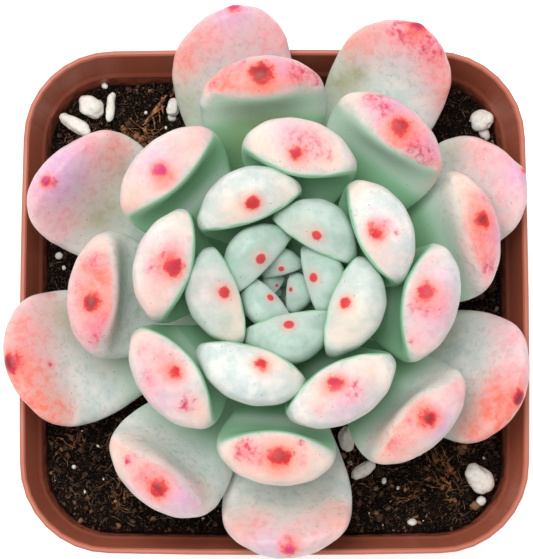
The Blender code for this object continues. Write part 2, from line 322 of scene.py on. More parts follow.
soil_shape = merged_copy(nodes["soil"], also_quads=False)
top_of_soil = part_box("soil")[1].z
for _ in range(6):
    long_edges = [
        e for e in soil_shape.edges
        if e.calc_length() > SOIL_FACE and min(v.co.z for v in e.verts) > top_of_soil - 4 * MM
    ]
    if not long_edges:
        break
    bmesh.ops.subdivide_edges(soil_shape, edges=long_edges, cuts=1)
    bmesh.ops.triangulate(soil_shape, faces=[f for f in soil_shape.faces if len(f.verts) > 4])
for vert in soil_shape.verts:
    if vert.normal.z > 0.2 and vert.co.z > top_of_soil - 4 * MM:
        lift = CLOD * rough(vert.co, 5) + CRUMB_RELIEF * rough(vert.co + Vector((1, 0, 0)), 1.6)
        vert.co.z += lift
soil = link_mesh("soil_ground", soil_shape)
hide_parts("soil")
print("soil ground:", len(soil.data.polygons), "faces")

# %% Soil finish
material, tree, shader = start_material("peat")
damp = grain(tree, 7, detail=6)
fine = grain(tree, 0.3, detail=6, roughness=0.7)
earth = mix(tree, ramp(tree, damp, 0.35, 0.65), chart(7, 5, 5), chart(25, 18, 14))
earth = mix(tree, ramp(tree, fine, 0.56, 0.64), earth, chart(120, 92, 72))
tree.links.new(earth, shader.inputs["Base Color"])
tree.links.new(ramp(tree, fine, 0.3, 0.7, 0.55, 0.9), shader.inputs["Roughness"])
shader.inputs["Specular IOR Level"].default_value = 0.1
bump(tree, shader, fine, 0.6)
soil.data.materials.append(material)
peat = material

# %% [markdown]
# Crumbs are strewn by dropping each one at a random spot of the ground. The random numbers start from a
# fixed seed, so the soil is the same each time. A crumb has only twenty faces, because there are thousands.
# An operator walks over its whole bmesh each time, so the lumps are made in small batches that are then
# added together. Each lump also gets a tone of its own, from 0 to 1, which its material turns into a colour.

# %% Crumbs
CRUMBS = 9500
COARSE_CRUMBS = 160
INSIDE_WALL = 41.0 * MM
CORNER_ROUND = 12.4 * MM
BATCH = 200

scene.view_layers[0].update()
ground = BVHTree.FromObject(soil, bpy.context.evaluated_depsgraph_get())
draw = random.Random(20)


def spot_on_soil(keep_off=7 * MM, margin=0.0):
    """A random place on the ground, inside the pot's rounded square and off the stem."""
    while True:
        x = draw.uniform(-INSIDE_WALL, INSIDE_WALL)
        y = draw.uniform(-INSIDE_WALL, INSIDE_WALL)
        straight = INSIDE_WALL - CORNER_ROUND
        past = Vector((max(abs(x) - straight, 0), max(abs(y) - straight, 0)))
        if past.length < CORNER_ROUND - margin and math.hypot(x, y) > keep_off:
            below = ground.ray_cast(Vector((x, y, 0.1)), Vector((0, 0, -1)))[0]
            if below:
                return below


def turned(scale):
    """A random turn together with a size along each axis."""
    spin = Matrix.Rotation(draw.uniform(0, math.tau), 4, Vector([draw.gauss(0, 1) for _ in range(3)]))
    return spin @ Matrix.Diagonal((*scale, 1))


def strew(name, spots, sizes, finish, roundness=1, flat=1.0, ragged=0.12, sunk=0.2):
    """Many lumps in one piece, one on each spot, each with its own size, turn and tone."""
    whole = bmesh.new()
    tones = []
    for first in range(0, len(spots), BATCH):
        batch = bmesh.new()
        for spot in spots[first:first + BATCH]:
            size = (sizes[0] + (sizes[1] - sizes[0]) * draw.random() ** 2) * MM
            scale = [size * draw.uniform(0.6, 1.3) for _ in range(3)]
            scale[2] *= flat
            place = Matrix.Translation(spot + Vector((0, 0, size * sunk)))
            lump = bmesh.ops.create_icosphere(batch, subdivisions=roundness, radius=0.5, matrix=place @ turned(scale))
            for vert in lump["verts"]:
                vert.co += ragged * size * Vector((draw.gauss(0, 1), draw.gauss(0, 1), draw.gauss(0, 1)))
            tones += [draw.random()] * len(lump["verts"])
        piece = bpy.data.meshes.new("batch")
        batch.to_mesh(piece)
        batch.free()
        whole.from_mesh(piece)
        bpy.data.meshes.remove(piece)
    strewn = link_mesh(name, whole)
    paint(strewn.data, "tone", tones)
    strewn.data.materials.append(finish)
    print(name, len(strewn.data.polygons), "faces")
    return strewn


material, tree, shader = start_material("crumb")
tone = painted(tree, "tone")
fine = grain(tree, 0.22, detail=4, roughness=0.7)
dark_crumb = mix(tree, ramp(tree, tone, 0.3, 0.9), chart(5, 4, 4), chart(84, 60, 48))
crumb = mix(tree, ramp(tree, tone, 0.9, 0.98), dark_crumb, chart(158, 118, 90))
crumb = mix(tree, ramp(tree, fine, 0.54, 0.62), crumb, chart(140, 108, 84))
tree.links.new(crumb, shader.inputs["Base Color"])
tree.links.new(ramp(tree, tone, 0.0, 1.0, 0.25, 0.75, smooth=False), shader.inputs["Roughness"])
shader.inputs["Specular IOR Level"].default_value = 0.1
bump(tree, shader, fine, 0.25)
crumb_finish = material

crumbs = strew("soil_crumbs", [spot_on_soil() for _ in range(CRUMBS)], (0.25, 1.1), crumb_finish, ragged=0.15)
clods = strew(
    "soil_clods", [spot_on_soil(margin=1 * MM) for _ in range(COARSE_CRUMBS)], (1.0, 2.2), crumb_finish,
    roundness=2, ragged=0.07, sunk=0.1,
)

# %% [markdown]
# Coir fibres run through the mix. Curves are the natural tool for them: a few control points bend a strand,
# a bevel gives it its thickness, and the finished curves are turned into one mesh. Most strands lie
# anywhere. The clumps of orange bark and the forked twig lie where the photograph shows them, so a
# helper sends the camera's ray through a pixel down to the ground.

# %% Fibres and bark
FINE_FIBRES = 2800
CLUMPS = (
    # pixel across and down, how many strands, how far they spread and how long they are in mm, heading
    (140, 140, 34, 2.6, 3.4, -50), (128, 131, 14, 1.6, 2.4, -40), (437, 463, 20, 2.6, 2.2, 110),
    (452, 487, 22, 2.8, 2.4, 140), (447, 476, 10, 2.0, 1.8, 60), (400, 496, 10, 2.4, 2.2, 20),
    (345, 478, 14, 2.0, 3.0, 60), (186, 95, 16, 2.2, 2.6, 40), (462, 447, 16, 2.0, 2.0, 80),
    (73, 440, 14, 2.0, 2.6, 120), (120, 500, 18, 2.6, 2.6, 30), (60, 415, 12, 1.8, 2.2, 70),
)
TWIG = (
    # pixels along each branch of the forked bit of bark, and its thickness in mm
    (((146, 124), (153, 115), (160, 106), (167, 97)), 0.34), (((152, 117), (156, 122), (155, 131)), 0.26),
    (((158, 109), (161, 116), (160, 124)), 0.22), (((149, 120), (157, 113), (165, 108)), 0.2),
    (((163, 99), (161, 108), (164, 116)), 0.24), (((143, 127), (150, 121), (158, 117)), 0.16),
)


def ground_below(x, y):
    return ground.ray_cast(Vector((x, y, 0.1)), Vector((0, 0, -1)))[0]


def spot_seen_at(across, down):
    """The place on the ground that the photograph shows at a pixel, or the nearest one to it."""
    ray = ray_through(across, down)
    level = CAMERA_PLACE + ray * ((top_of_soil - CAMERA_PLACE.z) / ray.z)
    return ground.ray_cast(CAMERA_PLACE, ray)[0] or ground.find_nearest(level)[0]


def strands_along(name, paths, finish):
    """Thin strands as one mesh. Each is a list of points and a thickness in mm."""
    curve = bpy.data.curves.new(name, "CURVE")
    curve.dimensions = "3D"
    curve.bevel_depth = MM / 2
    curve.bevel_resolution = 0
    curve.resolution_u = 2
    curve.use_fill_caps = True
    for points, thickness in paths:
        spline = curve.splines.new("NURBS")
        spline.points.add(len(points) - 1)
        spline.order_u = 3
        spline.use_endpoint_u = True
        for point, place in zip(spline.points, points):
            point.co = (*place, 1)
            point.radius = thickness * draw.uniform(0.7, 1.2)
        spline.points[-1].radius = thickness * 0.3
    drawn = bpy.data.objects.new(name + "_drawn", curve)
    scene.collection.objects.link(drawn)
    scene.view_layers[0].update()
    mesh = bpy.data.meshes.new_from_object(drawn.evaluated_get(bpy.context.evaluated_depsgraph_get()))
    bpy.data.objects.remove(drawn)
    mesh.name = name
    mesh.materials.clear()
    mesh.materials.append(finish)
    made = bpy.data.objects.new(name, mesh)
    scene.collection.objects.link(made)
    print(name, len(mesh.polygons), "faces")
    return made


def wander(start, heading, length, wobble=0.4, lift=(0.1, 0.9)):
    """The points of a strand that wanders over the ground from a start."""
    points = []
    place = Vector((start.x, start.y))
    for _ in range(5):
        below = ground_below(place.x, place.y)
        if below is None:
            break
        points.append(below + Vector((0, 0, draw.uniform(*lift) * MM)))
        heading += draw.gauss(0, wobble)
        place += length / 4 * MM * Vector((math.cos(heading), math.sin(heading)))
    return points


material, tree, shader = start_material("fibre")
streak = grain(tree, 2.5, detail=3)
strand = mix(tree, ramp(tree, streak, 0.4, 0.62), chart(36, 25, 20), chart(168, 130, 100))
tree.links.new(strand, shader.inputs["Base Color"])
tree.links.new(ramp(tree, grain(tree, 0.4), 0.3, 0.7, 0.3, 0.6), shader.inputs["Roughness"])
shader.inputs["Specular IOR Level"].default_value = 0.3
fibre_finish = material

material, tree, shader = start_material("bark")
streak = grain(tree, 0.9, detail=6, distortion=1.5)
bark = mix(tree, ramp(tree, streak, 0.35, 0.62), chart(58, 32, 20), chart(190, 126, 80))
tree.links.new(bark, shader.inputs["Base Color"])
tree.links.new(ramp(tree, streak, 0.3, 0.7, 0.4, 0.7), shader.inputs["Roughness"])
bump(tree, shader, streak, 0.3)
bark_finish = material

paths = []
for _ in range(FINE_FIBRES):
    points = wander(spot_on_soil(margin=1 * MM), draw.uniform(0, math.tau), draw.uniform(0.6, 2.4))
    if len(points) > 3:
        paths.append((points, draw.uniform(0.04, 0.11)))
strands = strands_along("soil_fibres", paths, fibre_finish)

paths = []
bark_spots = []
for across, down, count, spread, length, bearing in CLUMPS:
    centre = spot_seen_at(across, down)
    for _ in range(count):
        start = centre + Vector((draw.gauss(0, spread / 2), draw.gauss(0, spread / 2), 0)) * MM
        heading = math.radians(bearing) + draw.gauss(0, 0.5)
        points = wander(start, heading, length * draw.uniform(0.5, 1.2), 0.25, (0.3, 1.5))
        if len(points) > 3:
            paths.append((points, draw.uniform(0.07, 0.22)))
            bark_spots.append(points[1])
for pixels, thickness in TWIG:
    points = [spot_seen_at(*pixel) + Vector((0, 0, draw.uniform(1.2, 2.0) * MM)) for pixel in pixels]
    paths.append((points, thickness * 2.2))
coir = strands_along("bark_strands", paths, bark_finish)
splinters = strew(
    "bark_bits", bark_spots[::3] + [spot_on_soil(margin=2 * MM) for _ in range(40)], (0.4, 1.5), bark_finish,
    roundness=2, flat=0.5, ragged=0.1,
)

# %% [markdown]
# ## Perlite
#
# The white grains are puffed volcanic glass: dull, chalky and pitted. The larger ones are in the frame as
# simple lumps, so a merged copy of each is divided and roughened. The smaller ones are strewn like the
# crumbs: a few where the photograph shows them, and fine dust anywhere.

# %% Perlite
SMALL_GRAINS = (
    # pixel across and down, size in mm
    (384, 481, 1.2), (146, 113, 0.9), (172, 118, 1.4), (59, 256, 1.1), (109, 404, 1.7), (74, 467, 0.9),
    (85, 492, 0.7), (105, 84, 1.8), (484, 134, 2.4), (481, 501, 1.6), (412, 522, 1.4), (398, 488, 0.7),
    (471, 121, 0.7), (64, 268, 0.8), (350, 463, 0.9), (420, 455, 0.6), (455, 500, 0.6), (130, 470, 0.6),
    (98, 446, 0.6), (166, 128, 0.8),
)
PERLITE_DUST = 150

material, tree, shader = start_material("perlite")
place = add(tree, "ShaderNodeTexCoord").outputs["Object"]
cell = {"Vector": place, "Scale": 1 / (2.1 * MM)}
crack = add(tree, "ShaderNodeTexVoronoi", cell, feature="DISTANCE_TO_EDGE").outputs["Distance"]
pits = grain(tree, 0.8, detail=5, roughness=0.65)
patches = grain(tree, 2.6, detail=3)
chalk = mix(tree, ramp(tree, pits, 0.35, 0.6), chart(238, 233, 221), chart(250, 249, 242))
stained = maths(tree, "MULTIPLY", ramp(tree, crack, 0.04, 0.0), ramp(tree, patches, 0.52, 0.62))
chalk = mix(tree, maths(tree, "MULTIPLY", stained, 0.25), chalk, chart(110, 84, 62))
chalk = mix(tree, ramp(tree, pits, 0.33, 0.27), chalk, chart(116, 96, 78))
tree.links.new(chalk, shader.inputs["Base Color"])
tree.links.new(ramp(tree, pits, 0.3, 0.7, 0.95, 0.75), shader.inputs["Roughness"])
bump(tree, shader, pits, 0.2)
perlite_finish = material

grains_made = []
for name in sorted(n for n in nodes if n.startswith("perlite")):
    shape = merged_copy(nodes[name], also_quads=False)
    bmesh.ops.subdivide_edges(shape, edges=shape.edges, cuts=3, smooth=1.0, use_grid_fill=True)
    bmesh.ops.smooth_vert(shape, verts=shape.verts, factor=0.6, use_axis_x=True, use_axis_y=True, use_axis_z=True)
    for vert in shape.verts:
        dent = 0.12 * rough(vert.co, 1.8) + 0.05 * rough(vert.co, 0.5)
        vert.co += vert.normal * dent * MM
    lump = link_mesh(name + "_grain", shape)
    lump.data.materials.append(perlite_finish)
    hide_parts(name)
    grains_made.append(lump)
specks = [
    strew(
        "perlite_small_" + str(number), [spot_seen_at(across, down)], (size, size), perlite_finish,
        roundness=3, ragged=0.02,
    )
    for number, (across, down, size) in enumerate(SMALL_GRAINS, 1)
]
dust = strew(
    "perlite_dust", [spot_on_soil() for _ in range(PERLITE_DUST)], (0.15, 0.55), perlite_finish
)
print(len(grains_made), "perlite grains,", len(specks), "smaller ones and dust")

# %% [markdown]
# ## The leaves
#
# A leaf in the frame is a twelve-sided loft with a pole at its foot and one at its point. A merged copy is
# subdivided twice: once with the operator that bulges new points outwards, which keeps the size, and then
# by a Subdivision Surface, which makes the skin flow. Its result is read back as a plain mesh, because
# the painting below works on the final points.

# %% Rounder leaves
LEAF_LEVELS = 2
AXIS = Vector((1.4, -0.3, 0)) * MM
SOFT_BROWS = (
    # leaves whose thick tip runs softly into the blade, and how many rounds of smoothing that takes
    ((21, 23, 24, 25, 26, 27, 28, 29, 30, 31, 32, 34), 14), ((18, 19, 20, 22), 5), ((13, 14, 16, 17), 2),
)
ROUNDS_OF = {number: rounds for numbers, rounds in SOFT_BROWS for number in numbers}


def soften_brow(shape, rounds):
    """Smooths the face that looks at the axis, which fills the hollow below the brow."""
    shape.normal_update()
    middle = sum((v.co for v in shape.verts), Vector()) / len(shape.verts) - AXIS
    inwards = -Vector((middle.x, middle.y, 0)).normalized()
    face = [v for v in shape.verts if v.normal.dot(inwards) > 0.05 and v.normal.z > -0.2]
    for _ in range(rounds):
        bmesh.ops.smooth_vert(shape, verts=face, factor=0.5, use_axis_x=True, use_axis_y=True, use_axis_z=True)


def leaf_skin(node):
    """The smooth mesh of a leaf, as an object."""
    shape = merged_copy(node)
    bmesh.ops.subdivide_edges(shape, edges=shape.edges, cuts=1, smooth=1.0, use_grid_fill=True)
    soften_brow(shape, ROUNDS_OF.get(int(node.name[5:]), 0))
    rough_leaf = link_mesh(node.name + "_rough", shape)
    smoothing = rough_leaf.modifiers.new("smooth", "SUBSURF")
    smoothing.levels = LEAF_LEVELS
    smoothing.render_levels = LEAF_LEVELS
    scene.view_layers[0].update()
    mesh = bpy.data.meshes.new_from_object(rough_leaf.evaluated_get(bpy.context.evaluated_depsgraph_get()))
    bpy.data.objects.remove(rough_leaf)
    mesh.name = node.name + "_skin"
    mesh.shade_smooth()
    leaf = bpy.data.objects.new(node.name + "_skin", mesh)
    scene.collection.objects.link(leaf)
    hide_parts(node.name)
    return leaf


leaves = {int(name[5:]): leaf_skin(nodes[name]) for name in sorted(nodes) if name.startswith("leaf")}
print(len(leaves), "leaves,", sum(len(leaf.data.polygons) for leaf in leaves.values()), "faces")

# %% [markdown]
# Every leaf ends in a small red point, the mucro. Its place is the frame leaf's upper pole. From there the
# distance to each point of the skin is worked out once and kept on the mesh as an attribute, which the
# material reads. A second attribute tells the leaf's inner face, which looks at the plant's axis, from its back.

# %% Points, faces and green hearts
DOTS = {
    # leaf: radius of the red dot in mm, how dark its middle is, and how far its red turns to magenta
    1: (0.28, 0.0, 0.1), 2: (0.42, 0.1, 0.1), 3: (0.52, 0.1, 0.0), 4: (0.65, 0.1, 0.0), 5: (0.85, 0.1, 0.0),
    6: (1.0, 0.2, 0.0), 7: (0.95, 0.1, 0.0), 8: (0.9, 0.0, 0.0), 9: (1.15, 0.2, 0.0), 10: (1.0, 0.0, 0.0),
    11: (1.15, 0.3, 0.0), 12: (1.0, 0.2, 0.0), 13: (1.25, 0.1, 0.0), 14: (1.4, 0.3, 0.2), 15: (1.3, 0.2, 0.2),
    16: (0.95, 0.1, 0.2), 17: (1.1, 0.3, 0.0), 18: (1.5, 0.3, 0.1), 19: (1.0, 0.2, 0.9), 20: (1.8, 0.6, 0.0),
    21: (1.7, 0.6, 0.0), 22: (1.4, 0.8, 0.0), 23: (1.5, 0.8, 0.0), 24: (1.9, 0.8, 0.0), 25: (1.6, 0.8, 0.0),
    26: (1.4, 0.8, 0.0), 27: (0.8, 0.4, 1.0), 28: (1.2, 0.1, 1.0), 29: (1.5, 0.5, 0.4), 30: (1.7, 0.9, 0.2),
    31: (1.2, 0.9, 0.3), 32: (0.9, 0.1, 1.0), 34: (0.6, 0.1, 0.9),
}
GREENS = (
    # leaves, where their inner face starts in mm from the point towards the axis, how far it takes to turn
    # green, and how green it gets; this green is partly the inner face's own colour and partly painted shade
    ((11, 13, 14, 16, 18), 4.0, 2.4, 1.0), ((19,), 6.0, 3.0, 1.0), ((20,), 6.0, 3.0, 0.9),
    ((21, 24), 4.0, 4.2, 1.0),
    ((7, 8, 9, 10, 12, 15, 17), 4.0, 2.4, 0.85), ((26, 23), 4.0, 5.5, 0.8), ((25,), 7.0, 8.0, 0.6), ((22,), 9.0, 9.0, 0.3),
    ((27, 28, 29, 30, 31, 32, 34), 12.0, 12.0, 0.45), ((1, 2, 3, 4, 5, 6), 3.0, 2.4, 0.4),
)
GREEN_OF = {number: values for numbers, *values in GREENS for number in numbers}
SPIKES = {29: 0.8, 34: 0.9, 32: 0.4, 31: 0.4, 30: 0.4, 27: 0.2, 28: 0.3}  # how far a leaf's point sticks out, mm
SNUG = 0.2 * MM  # the young leaves press on each other, so their skins come this much closer


def fade(value, low, high):
    """0 below low, 1 above high, and a soft step between."""
    share = np.clip((value - low) / (high - low), 0.0, 1.0)
    return share * share * (3 - 2 * share)


def outward_of(point):
    """The level direction from the plant's axis to a point."""
    return Vector((point.x - AXIS.x, point.y - AXIS.y, 0)).normalized()


def mucro_of(node):
    """The upper pole of a leaf in the frame."""
    shape = merged_copy(node)
    poles = [v.co.copy() for v in shape.verts if len(v.link_edges) > 10]
    shape.free()
    return max(poles, key=lambda pole: pole.z)


mucros = {number: mucro_of(nodes[f"leaf_{number:02d}"]) for number in leaves}
for number, leaf in leaves.items():
    mesh = leaf.data
    place = points_of(mesh)
    normal = normals_of(mesh)
    point = mucros[number]
    dot_radius, dark, rosy = DOTS[number]

    away = np.linalg.norm(place - np.array(point), axis=1) / MM
    pimple = 0.16 * dot_radius * MM * np.exp(-((away / (0.8 * dot_radius)) ** 2))
    if number < 8:
        pimple += SNUG
    spike = SPIKES.get(number, 0.0) * MM * np.exp(-((away / 2.6) ** 2))
    place = place + normal * pimple[:, None] + np.array(outward_of(point)) * spike[:, None]
    mesh.vertices.foreach_set("co", place.astype(np.float32).ravel())

    outward = outward_of(point)
    inner = -(normal @ np.array(outward))
    starts, softly, strength = GREEN_OF[number]
    toward_axis = (np.array(point) - place) @ np.array(outward) / MM
    # Under the thick tip the inner face turns green, partly its own colour and partly painted shade under the brow.
    under_brow = fade(inner - normal[:, 2], -0.15, 0.35) * fade(away, 2.0, 4.5)
    under_brow *= fade(-softly, -5.4, -2.4)
    blade = fade(toward_axis, starts, starts + softly) * fade(inner, -0.1, 0.35)
    facing_in = fade(inner, 0.25, 0.85)
    paint(mesh, "away", away)
    paint(mesh, "dot_size", np.full(len(away), dot_radius))
    paint(mesh, "dot_dark", np.full(len(away), dark))
    paint(mesh, "dot_rosy", np.full(len(away), rosy))
    paint(mesh, "inner", facing_in)
    # margin: painted shade, a darker mint-grey where the skin turns away from the light above
    paint(mesh, "margin", fade(1 - normal[:, 2], 0.3, 0.85))
    # green: partly the inner faces' own green, partly painted shade under the brow and on the blade
    paint(mesh, "green", strength * np.maximum(under_brow, blade))
    # painted shade: the green darkens deeper towards the axis
    paint(mesh, "deep_shade", fade(toward_axis, 6.0, 12.0))
    paint(mesh, "bare", fade(inner - normal[:, 2], -0.6, -0.1) * fade(away, 2.0, 4.5) * fade(number, 10, 18) * (number < 27))
    paint(mesh, "young", np.full(len(away), 1 - fade(number, 6.5, 13.5)))

# %% [markdown]
# ## Blushes
#
# Sun turns the old leaves coral, pink and lilac in soft patches, and leaves magenta specks near their points.
# A noise texture alone would put them anywhere. Here they are painted like make-up instead: each mark
# is named by the pixel where the photograph shows it, the camera's ray through that pixel finds the spot on
# the leaf, and the paint fades out around it. The material then breaks the soft paint up with noise.

